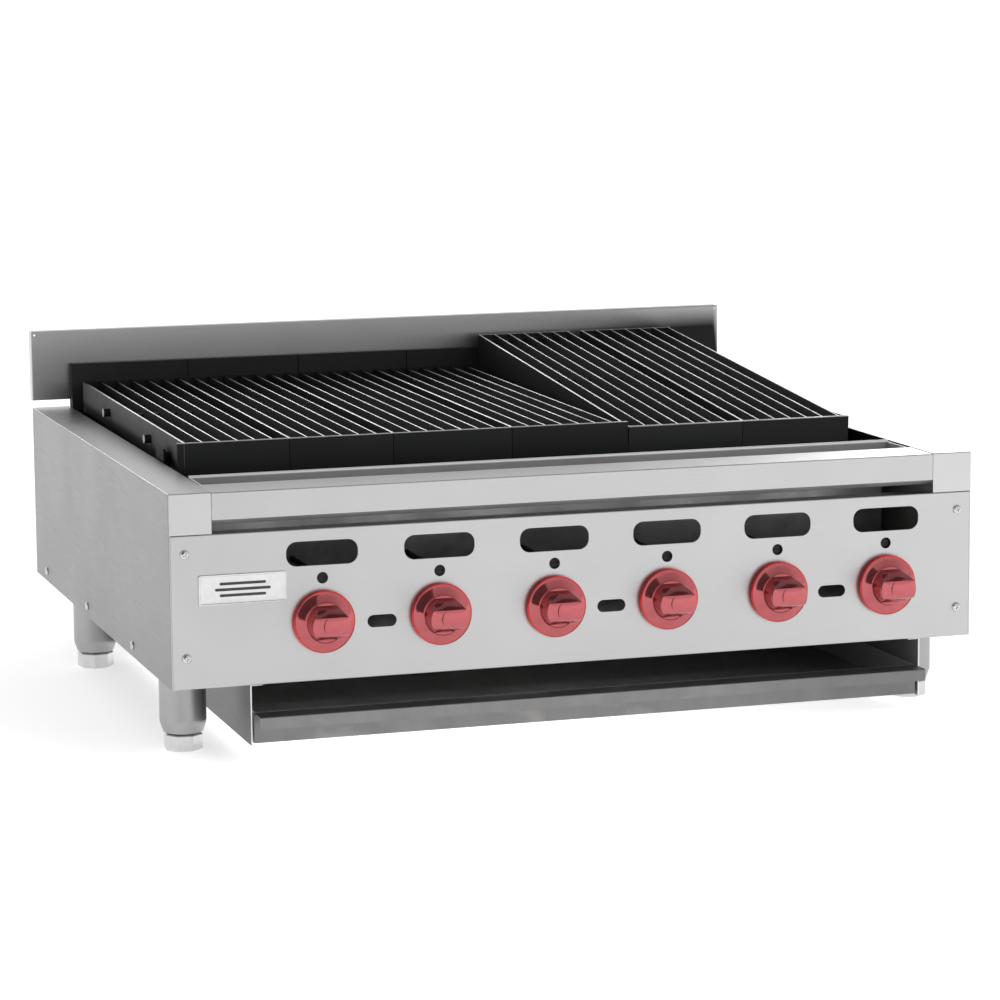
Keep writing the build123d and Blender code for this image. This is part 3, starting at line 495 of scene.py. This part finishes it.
def used_pan_sheet(name, inside_y):
    """Aluminised pan sheet: grey, mottled by washing, with pale patches, streaks and scratches, darker towards the
    right; its inside is painted pale and matt as painted light, less towards the right.
    """
    sheet = Surface(name)
    inner = sheet.spread(sheet.axis("Y"), (inside_y - 1.2 * MM, inside_y - 0.3 * MM), (0.0, 1.0))
    patches = sheet.noise(11.0, (0.7, 1.0, 1.0), detail=3.0, roughness=0.5, distortion=0.3)
    streaks = sheet.noise(26.0, (1.0, 8.0, 0.35), detail=4.0, roughness=0.6)
    specks = sheet.cells(150.0)
    scratch = sheet.noise(30.0, (14.0, 1.0, 1.0), detail=2.0, distortion=0.4)
    base = sheet.blend(sheet.spread(streaks, (0.3, 0.7), (0.0, 1.0)), grey(0.21), grey(0.26, 0.01))
    pale = sheet.blend(sheet.spread(patches, (0.52, 0.66), (0.0, 0.9), smooth=True), base, grey(0.40, 0.015))
    color = sheet.blend(sheet.spread(scratch, (0.76, 0.79), (0.0, 0.5)), pale, grey(0.10))
    color = sheet.blend(sheet.spread(sheet.axis("X"), (SIDE * 0.3, SIDE * 0.85), (0.0, 0.4)), color, grey(0.10))
    # painted light: the inside is pale and matt, less towards the right
    painted_light_inside = sheet.blend(streaks, grey(0.90), grey(0.80, 0.01))
    painted_light_inside = sheet.blend(sheet.spread(sheet.axis("X"), (0.0, SIDE * 0.85), (0.0, 1.0)), painted_light_inside, grey(0.32))
    color = sheet.blend(inner, color, painted_light_inside)
    sheet.set(Base_Color=color, Metallic=sheet.spread(inner, (0.0, 1.0), (0.9, 0.0)),
              Roughness=sheet.spread(patches, (0.35, 0.65), (0.34, 0.5)))
    sheet.bump(specks, 0.08, 0.0003)
    sheet.bump(scratch, 0.1, 0.0003)
    return sheet.material


def red_moulding(name, rim=0.0):
    """Glossy moulding in metallic red, with faint flow marks, and a brighter red past the rim's radius as a
    painted highlight.
    """
    red = Surface(name, metallic=0.85)
    flow = red.noise(60.0, (1.0, 1.0, 2.5), detail=3.0, distortion=1.0)
    skin = red.noise(1500.0, detail=2.0)
    color = red.blend(red.spread(flow, (0.3, 0.7), (0.0, 1.0)), (0.42, 0.093, 0.102), (0.47, 0.108, 0.118))
    # painted highlight: a brighter, redder ring past the rim's radius
    if rim:
        x, z = red.axis("X"), red.axis("Z")
        radius = red.math("SQRT", red.math("MULTIPLY_ADD", x, x, red.math("MULTIPLY", z, z)))
        color = red.blend(red.spread(radius, (rim, rim + 0.5 * MM), (0.0, 1.0)), color, (0.80, 0.035, 0.03))
    red.set(Base_Color=color, Roughness=red.spread(flow, (0.3, 0.7), (0.09, 0.13)),
            Coat_Weight=0.3, Coat_Roughness=0.04)
    red.bump(skin, 0.02, 0.0001)
    return red.material


def studio_floor(name):
    """Pale matt floor with very faint mottling."""
    floor = Surface(name, roughness=0.9)
    mottle = floor.noise(3.0, detail=3.0)
    floor.set(Base_Color=floor.blend(floor.spread(mottle, (0.3, 0.7), (0.0, 1.0)), grey(0.90), grey(0.93)),
              Specular_IOR_Level=0.1, Emission_Color=(1.0, 1.0, 1.0, 1), Emission_Strength=FLOOR_GLOW)
    return floor.material


# ---------------------------------------------------------------- mesh helpers
def circle(radius, count):
    """Points round a circle, as pairs."""
    step = 2 * math.pi / count
    return [(radius * math.cos(step * i), radius * math.sin(step * i)) for i in range(count)]


def loft(shape, rings):
    """Skin between closed rings with the same number of points, with a cap over each end."""
    rows = [[shape.verts.new(point) for point in ring] for ring in rings]
    for near, far in zip(rows, rows[1:]):
        for i in range(len(near)):
            following = (i + 1) % len(near)
            shape.faces.new((near[i], near[following], far[following], far[i]))
    for row, flip in ((rows[0], True), (rows[-1], False)):
        middle = shape.verts.new(sum((vert.co for vert in row), Vector()) / len(row))
        for i in range(len(row)):
            pair = (row[i], row[(i + 1) % len(row)])
            shape.faces.new((*(reversed(pair) if flip else pair), middle))


def bar(shape, outline, start, end, steps=1, wander=0.0):
    """Closed bar along Y with an (x, z) outline, cast a little unevenly where it wanders."""
    rings = []
    for step in range(steps + 1):
        y = start + (end - start) * step / steps
        ring = []
        for x, z in outline:
            drift = noise.noise_vector((x * 90, y * 45, z * 90)) * wander
            ring.append((x + drift.x, y, z + drift.z))
        rings.append(ring)
    loft(shape, rings)


def block(shape, x, y, z):
    """Closed block between two places on each axis."""
    corners = [(x[0], z[0]), (x[1], z[0]), (x[1], z[1]), (x[0], z[1])]
    bar(shape, corners, *y)


ROD_SIDES = 24


def rod(shape, radius, x, y, z):
    """Closed round bar along X."""
    loft(shape, [[(place, y + a, z + b) for a, b in circle(radius, ROD_SIDES)] for place in x])


def new_mesh(name, shape):
    """Mesh from a bmesh, with outward faces."""
    bmesh.ops.recalc_face_normals(shape, faces=shape.faces)
    mesh = bpy.data.meshes.new(name)
    shape.to_mesh(mesh)
    shape.free()
    return mesh


def shade(mesh, angle=35.0):
    """Smooth shading that stays sharp over real edges."""
    mesh.polygons.foreach_set("use_smooth", [True] * len(mesh.polygons))
    mesh.set_sharp_from_angle(angle=math.radians(angle))


def carve(name, body_mesh, tool_mesh, fuse=False, edge=0.0, bends=40.0):
    """Cut a mesh with another, joining its own overlapping shells where fuse is set, then round its edges."""
    body = bpy.data.objects.new(name, body_mesh)
    tool = bpy.data.objects.new(f"{name}_tool", tool_mesh)
    for helper in (body, tool):
        PARTS.objects.link(helper)
    cut = body.modifiers.new("cut", "BOOLEAN")
    cut.operation = "DIFFERENCE"
    cut.object = tool
    cut.solver = "EXACT"
    cut.use_self = fuse
    if edge:
        rounding = body.modifiers.new("edges", "BEVEL")
        rounding.width = edge
        rounding.segments = 3 if bends < 40.0 else 2
        rounding.limit_method = "ANGLE"
        rounding.angle_limit = math.radians(bends)
        rounding.use_clamp_overlap = True
    ready = body.evaluated_get(bpy.context.evaluated_depsgraph_get())
    mesh = bpy.data.meshes.new_from_object(ready)
    for helper in (body, tool):
        bpy.data.objects.remove(helper)
    mesh.name = name
    return mesh


def add_piece(name, mesh, material, body, place=None):
    """A finished piece: meshed, coloured, in place and riding on its body."""
    mesh.materials.clear()
    mesh.materials.append(material)
    piece = bpy.data.objects.new(name, mesh)
    PARTS.objects.link(piece)
    if place is not None:
        piece.matrix_world = place
    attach(piece, body)
    return piece


# ---------------------------------------------------------------- grates
def rib_outline(middle):
    """Half-round crown on a drafted rib with a wider foot."""
    crown = [(middle + CROWN_R * math.cos(angle), GRATE_TOP - CROWN_R + CROWN_R * math.sin(angle))
             for angle in (math.radians(step) for step in range(10, 180, 20))]
    right = [(middle + 4.6 * MM, RIB_LOW), (middle + 5.0 * MM, RIB_LOW + 0.6 * MM),
             (middle + 3.3 * MM, RIB_LOW + 5.0 * MM)]
    left = [(2 * middle - x, z) for x, z in reversed(right)]
    return right + crown + left


CROSS_BARS = (                         # along and upright: over the rod, midway, and two at the rear
    ((-12 * MM, 12 * MM), (-4 * MM, GRATE_TOP - 9 * MM)),
    ((230 * MM, 240 * MM), (RIB_LOW - 4 * MM, GRATE_TOP - 7 * MM)),
    ((GRATE_REAR - 12 * MM, GRATE_REAR), (RIB_LOW, GRATE_TOP - 5 * MM)),
    ((GRATE_REAR - 3 * MM, GRATE_REAR), (RIB_LOW, GRATE_TOP - 0.4 * MM)))
RIB_WANDER = 0.12 * MM                 # how far the cast ribs stray from straight


def add_grate(index, material):
    """Cast grate in its own frame: drafted ribs, deep left wall, cross bars, saddle and apron."""
    name = f"grate_{index + 1}"
    low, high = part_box(name)
    pivot = JOINTS[f"{name}_tilt"]["pos_m"]
    right = high.x
    left = low.x if index else low.x + BOSS_REACH
    shape = bmesh.new()
    for rib in range(1, GRATE_RIBS[index]):
        bar(shape, rib_outline(left + 1.4 * MM + rib * RIB_PITCH), GRATE_FRONT + 2 * MM,
            GRATE_REAR - 0.5 * MM, steps=40, wander=RIB_WANDER)
    wall = [(left, WALL_LOW), (left + 5 * MM, WALL_LOW), (left + 5 * MM, RIB_LOW + 5 * MM),
            (left + 2.4 * MM, GRATE_TOP - 0.4 * MM), (left + 1.9 * MM, GRATE_TOP), (left + 0.5 * MM, GRATE_TOP),
            (left, GRATE_TOP - 0.5 * MM)]
    bar(shape, wall, GRATE_FRONT + 2 * MM, GRATE_REAR, steps=24)
    apron = (left if index else left - APRON_REACH, right)
    block(shape, apron, (GRATE_FRONT, GRATE_FRONT + 5 * MM), (WALL_LOW, GRATE_TOP))
    bars = (left + 1 * MM, left + 4.4 * MM + (GRATE_RIBS[index] - 1) * RIB_PITCH)
    for along, upright in CROSS_BARS:
        block(shape, bars, along, upright)
    if index == 0:
        for y, z in BOSSES:
            rod(shape, BOSS_R, (left - BOSS_REACH, left + 1 * MM), y, z)
    saddle = bmesh.new()
    past = (left - 10 * MM, right + 10 * MM)
    outline = [(BAR_R * math.cos(angle), BAR_R * math.sin(angle))
               for angle in (math.radians(step) for step in range(0, 181, 15))]
    outline += [(-BAR_R, WALL_LOW - 2 * MM), (BAR_R, WALL_LOW - 2 * MM)]
    loft(saddle, [[(x, y, z) for y, z in outline] for x in past])
    mesh = carve(name + "_cast", new_mesh(name, shape), new_mesh(name + "_saddle", saddle), fuse=True,
                 edge=0.35 * MM)
    shade(mesh)
    turn = Matrix.Rotation(math.radians(GRATE_TILTS[index]), 4, "X")
    place = Matrix.Translation((0, pivot[1], pivot[2])) @ turn
    piece = add_piece(f"{name}_cast", mesh, material, BODY_OF[name], place)
    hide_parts(name)


# ---------------------------------------------------------------- knobs
KNOB_PROFILE = (                       # radius and reach in mm, from the back to the grip's face
    (20.0, 2.6), (27.5, 2.6), (30.5, 3.0), (32.6, 4.3), (33.3, 5.4), (33.5, 6.2), (33.45, 6.8), (33.2, 7.25),
    (32.8, 7.45), (32.3, 7.4), (31.9, 7.15), (31.3, 7.2), (28.0, 8.5), (24.6, 10.0), (22.4, 11.1), (21.3, 11.9),
    (20.8, 12.7), (20.6, 14.0), (20.5, 22.0), (20.5, 30.0), (20.5, 37.0))
GRIP_FOOT = (12.2, 18.6)               # reach and half height where a flat starts, in mm
GRIP_FACE = (37.0, 9.4)
GRIP_EDGE = 0.9 * MM
POINTER_R = 12.0 * MM                  # the pointer line's arc, its lower end and its sweep in degrees
POINTER_START = -28
POINTER_SWEEP = 76
POINTER_HALF = 0.75 * MM
POINTER_X = -8.5 * MM


def knob_mesh(name):
    """Dished disc with a thin rolled rim, and a round barrel cut to a grip by two slanting flats."""
    barrel = bmesh.new()
    loft(barrel, [[(x, -reach * MM, z) for x, z in circle(radius * MM, 144)]
                  for radius, reach in KNOB_PROFILE])
    flats = bmesh.new()
    (foot, foot_half), (face, face_half) = GRIP_FOOT, GRIP_FACE
    for side in (-1, 1):
        tip = face_half - (foot_half - face_half) * 5.0 / (face - foot)
        outline = [(foot, side * foot_half), (face + 5.0, side * tip), (face + 5.0, side * 40.0),
                   (foot, side * 40.0)]
        loft(flats, [[(x * MM, -reach * MM, z * MM) for reach, z in outline] for x in (-40.0, 40.0)])
    mesh = carve(name, new_mesh(name, barrel), new_mesh(name + "_flats", flats), edge=GRIP_EDGE, bends=30.0)
    shade(mesh, 30.0)
    return mesh


def pointer_mesh(name):
    """Slim curved pointer line moulded across the grip's face."""
    shape = bmesh.new()
    rings = []
    steps = 14
    for step in range(steps + 1):
        share = step / steps
        angle = math.radians(POINTER_START + POINTER_SWEEP * share)
        width = POINTER_HALF * math.sin(math.pi * (0.08 + 0.84 * share))
        x = POINTER_R * (1 - math.cos(angle)) + POINTER_X
        z = POINTER_R * math.sin(angle)
        rings.append([(x - width, -36.6 * MM, z), (x - width * 0.6, -37.25 * MM, z),
                      (x + width * 0.6, -37.25 * MM, z), (x + width, -36.6 * MM, z)])
    loft(shape, rings)
    mesh = new_mesh(name, shape)
    shade(mesh)
    return mesh


def add_knobs(material, line_material):
    """Six equal knobs, each on its own spindle body."""
    for index in range(1, 7):
        name = f"knob_{index}"
        low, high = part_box(name)
        place = Matrix.Translation(((low.x + high.x) / 2, high.y + 3 * MM, (low.z + high.z) / 2))
        body = BODY_OF[name]
        piece = add_piece(f"{name}_moulding", knob_mesh(name), material, body, place)
        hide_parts(name)
        add_piece(f"{name}_pointer", pointer_mesh(name), line_material, body, place)


# ---------------------------------------------------------------- screws and plate
SCREW_R = 5.0 * MM
SCREW_HEIGHT = 2.6 * MM
SCREW_TURN = 37.0                      # degrees from one screw's recess to the next
PANEL_SCREW_X = 440.5 * MM
PANEL_SCREW_RISES = (33.0, 143.5)      # mm above the casing's underside
SIDE_SCREW_RISE = 12.5 * MM
SIDE_SCREW_DEPTHS = (199, 457, 715)    # mm behind the control panel


def screw_mesh(name):
    """Pan-head screw along +Z from its seat at the origin: domed head, cross recess, ridged shank."""
    shape = bmesh.new()
    rings = [[(x, y, -9.0 * MM) for x, y in circle(1.0 * MM, 28)]]
    for ridge in range(16):
        radius = (1.75 if ridge % 2 else 2.2) * MM
        rings.append([(x, y, (-8.2 + 0.5 * ridge) * MM) for x, y in circle(radius, 28)])
    rings.append([(x, y, 0.0) for x, y in circle(2.2 * MM, 28)])
    rings.append([(x, y, 0.0) for x, y in circle(SCREW_R * 0.97, 28)])
    for step in range(0, 7):
        angle = math.pi / 2 * step / 7
        height = 0.5 * MM + (SCREW_HEIGHT - 0.5 * MM) * math.sin(angle)
        rings.append([(x, y, height) for x, y in circle(SCREW_R * math.cos(angle) ** 0.75, 28)])
    loft(shape, rings)
    recess = bmesh.new()
    for top in ((2.7 * MM, 0.6 * MM), (0.6 * MM, 2.7 * MM)):
        low = (top[0] * 0.55, top[1] * 0.55)
        rings = [[(x, y, z) for x, y in ((-w, -d), (w, -d), (w, d), (-w, d))]
                 for (w, d), z in ((low, SCREW_HEIGHT - 1.7 * MM), (top, SCREW_HEIGHT + 0.5 * MM))]
        loft(recess, rings)
    mesh = carve(name, new_mesh(name, shape), new_mesh(name + "_recess", recess), fuse=True)
    shade(mesh, 30.0)
    return mesh


def add_casing_screws(material):
    """Ten pan-head screws: four in the control panel, three in each side, each turned as it was left."""
    low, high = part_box("casing_screws")
    side, front = high.x - SCREW_HEIGHT, low.y + SCREW_HEIGHT
    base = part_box("control_panel")[0].z
    seats = [((x * PANEL_SCREW_X, front, base + z * MM), (0, -1, 0))
             for x in (-1, 1) for z in PANEL_SCREW_RISES]
    seats += [((x * side, front + y * MM, base + SIDE_SCREW_RISE), (x, 0, 0))
              for x in (-1, 1) for y in SIDE_SCREW_DEPTHS]
    shape = bmesh.new()
    single = screw_mesh("casing_screw")
    for number, (seat, axis) in enumerate(seats):
        before = len(shape.verts)
        shape.from_mesh(single)
        turn = Vector(axis).to_track_quat("Z", "Y").to_matrix().to_4x4()
        spin = Matrix.Rotation(math.radians(SCREW_TURN * number), 4, "Z")
        shape.verts.ensure_lookup_table()
        bmesh.ops.transform(shape, matrix=Matrix.Translation(seat) @ turn @ spin, verts=shape.verts[before:])
    mesh = bpy.data.meshes.new("casing_screws")
    shape.to_mesh(mesh)
    shape.free()
    shade(mesh, 30.0)
    piece = add_piece("casing_screws_detailed", mesh, material, "casing")
    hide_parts("casing_screws")


CORNER_STEPS = 8


def rounded_rectangle(half_x, half_z, radius):
    """Points round a rectangle with round corners, as pairs."""
    points = []
    for quarter, (sx, sz) in enumerate(((1, 1), (-1, 1), (-1, -1), (1, -1))):
        for step in range(CORNER_STEPS + 1):
            angle = math.pi / 2 * (quarter + step / CORNER_STEPS)
            points.append((sx * (half_x - radius) + radius * math.cos(angle),
                           sz * (half_z - radius) + radius * math.sin(angle)))
    return points


SHARPEST_CORNER = 0.2 * MM


def plate_mesh(name, half_x, half_z, layers, corner):
    """Stack of rounded rectangles, each inset and raised: a pressed plate or bar facing -Y."""
    shape = bmesh.new()
    rings = []
    for inset, height in layers:
        outline = rounded_rectangle(half_x - inset, half_z - inset, max(corner - inset, SHARPEST_CORNER))
        rings.append([(x, -height, z) for x, z in outline])
    loft(shape, rings)
    mesh = new_mesh(name, shape)
    shade(mesh, 30.0)
    return mesh


PLATE_LAYERS = (                       # inset and height in mm: the edge, the raised border, the sunk field
    (0, 0), (0, 0.9), (0.15, 1.15), (0.4, 1.3), (1.5, 1.3), (1.8, 1.15), (2.1, 0.85), (2.4, 0.8), (8.0, 0.8))


def add_name_plate(plate_material, bar_material):
    """Plain pressed plate with a raised border and three plain ridges."""
    low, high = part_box("name_plate")
    middle = Vector(((low.x + high.x) / 2, high.y, (low.z + high.z) / 2))
    half_x, half_z = (high.x - low.x) / 2, (high.z - low.z) / 2
    layers = [(inset * MM, height * MM) for inset, height in PLATE_LAYERS]
    place = Matrix.Translation(middle)
    piece = add_piece("name_plate_pressed", plate_mesh("name_plate", half_x, half_z, layers, 2.4 * MM),
                      plate_material, "casing", place)
    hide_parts("name_plate")
    ridge = [(0, 0.5 * MM), (0, 0.95 * MM), (0.2 * MM, 1.15 * MM), (0.6 * MM, 1.2 * MM)]
    for row in (-1, 0, 1):
        place = Matrix.Translation(middle + Vector((0, 0, row * 6.2 * MM)))
        mesh = plate_mesh("plate_ridge", (30.0 - 5.0 * abs(row)) * MM, 1.5 * MM, ridge, 1.45 * MM)
        add_piece(f"name_plate_ridge_{row + 2}", mesh, bar_material, "casing", place)


def finish_nodes():
    """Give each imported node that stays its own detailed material."""
    casing_x = brushed_steel("casing_steel_front", 0.512, "x")
    casing_y = brushed_steel("casing_steel_sides", 0.56, "y", side_painted_shade=0.42)
    splash_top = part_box("backsplash")[1].z
    splash = heated_steel("backsplash_steel", 0.52, splash_top - 88 * MM, splash_top - 4 * MM)
    liner = dulled_sheet("liner_steel_dulled", 0.15)
    # painted light: the liner's front wall gets a much paler copy of the liner colour, paler still above this
    # height, which shows through the gap under the rail
    seen_through_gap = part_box("front_rail")[0].z - 38 * MM
    front_liner = dulled_sheet("liner_steel_front", 0.50, warmth=0.0, painted_light_z=seen_through_gap)
    trough = greasy_trough("trough_steel", 0.31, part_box("grease_trough")[0].y)
    fittings = black_finish("pilot_fitting_dark", 0.022)
    black = black_finish("rack_black_coat", 0.006)
    flue = cast_iron("flue_iron_cast", 0.009)
    radiant = cast_iron("radiant_iron_cast", 0.05, warmth=0.12, roughness=0.75)
    burner = cast_iron("burner_iron_cast", 0.09, warmth=0.05, roughness=0.7)
    pipe = black_finish("gas_pipe_black", 0.03)
    brass = machined_brass("valve_brass_turned")
    bay = bay_sheet("bay_steel_sheet", 0.17, 0.9)
    pan = used_pan_sheet("pan_steel_used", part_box("drip_pan")[0].y + PAN_INSIDE)
    leg = brushed_steel("leg_steel_tube", 0.39, "z", roughness=0.40)
    foot = plated("foot_plating", 0.66, 0.28)
    by_node = {
        "control_panel": casing_x, "front_rail": casing_x, "rear_panel": casing_x, "backsplash": splash,
        "left_side_panel": casing_y, "right_side_panel": casing_y, "grease_trough": trough,
        "firebox_front_wall": front_liner, "flue_plates": flue, "pan_housing": bay, "drip_pan": pan,
        "leg_tubes": leg, "gas_manifold": pipe, "gas_supply_pipe": pipe, "valve_bodies": brass,
        "pilot_lines": fittings, "name_plate": plated("plate_satin", 0.8, 0.35),
        "casing_screws": plated("screw_zinc", 0.75, 0.15), "rack_bolts": plated("bolt_zinc", 0.4, 0.3),
    }
    by_slot = {"liner_steel": liner, "rack_black": black, "radiant_iron": radiant, "burner_iron": burner,
               "valve_brass": brass, "foot_steel": foot, "knob_red": red_moulding("knob_red_gloss"),
               "grate_iron": cast_iron("grate_iron_cast", 0.016)}
    for name, node in NODES.items():
        packed_slot = node.data.materials[0].name
        material = by_node.get(name) or by_slot[packed_slot]
        for index in range(len(node.data.materials)):
            node.data.materials[index] = material


def add_floor():
    """A large pale floor under the feet."""
    half = 150.0
    mesh = bpy.data.meshes.new("floor")
    mesh.from_pydata([(-half, -half, 0), (half, -half, 0), (half, half, 0), (-half, half, 0)],
                     [], [(0, 1, 2, 3)])
    mesh.materials.append(studio_floor("floor_pale"))
    floor = bpy.data.objects.new("floor", mesh)
    PARTS.objects.link(floor)


bpy.context.scene.view_settings.view_transform = "Standard"
add_camera()
add_sky(level_light=1.02, high_light=0.3, ground_light=0.9)
add_softbox("front_softbox", (1.6, -2.6, 2.4), (0.0, 0.0, 0.2), (2.2, 1.6), 40.0, mirrored=False)
add_softbox("rear_left_softbox", (-1.0, 4.6, 2.2), (0.0, 0.0, 0.3), (1.5, 1.3), 24.0)
add_softbox("rear_right_softbox", (3.0, 4.3, 1.7), (0.2, 0.0, 0.3), (1.4, 1.8), 28.0)
add_flag("camera_flag", CARD_OUTLINE, CARD_Y, 0.02)
add_floor()
finish_nodes()
first_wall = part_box("grate_1")[0].x + BOSS_REACH
# the raised grates get a lighter copy of the iron with crowns bright to the rear, as painted light; the low
# grates' crowns fade at the rear as painted shade
grate_irons = [scraped_grate("grate_iron_wall_lit", 0.010, GRATE_TOP, 0.0, first_wall),
               scraped_grate("grate_iron_low", 0.010, GRATE_TOP, 0.0),
               scraped_grate("grate_iron_raised", 0.0135, GRATE_TOP, 0.8)]
for grate_index in range(len(GRATE_RIBS)):
    add_grate(grate_index, grate_irons[2 if grate_index in RAISED else min(grate_index, 1)])
add_knobs(red_moulding("knob_red_moulding", rim=32.1 * MM), black_finish("pointer_dark", 0.03))
add_casing_screws(plated("screw_zinc_bright", 0.62, 0.14))
add_name_plate(plated("plate_satin_bright", 0.70, 0.3), black_finish("plate_ridge_dark", 0.05))
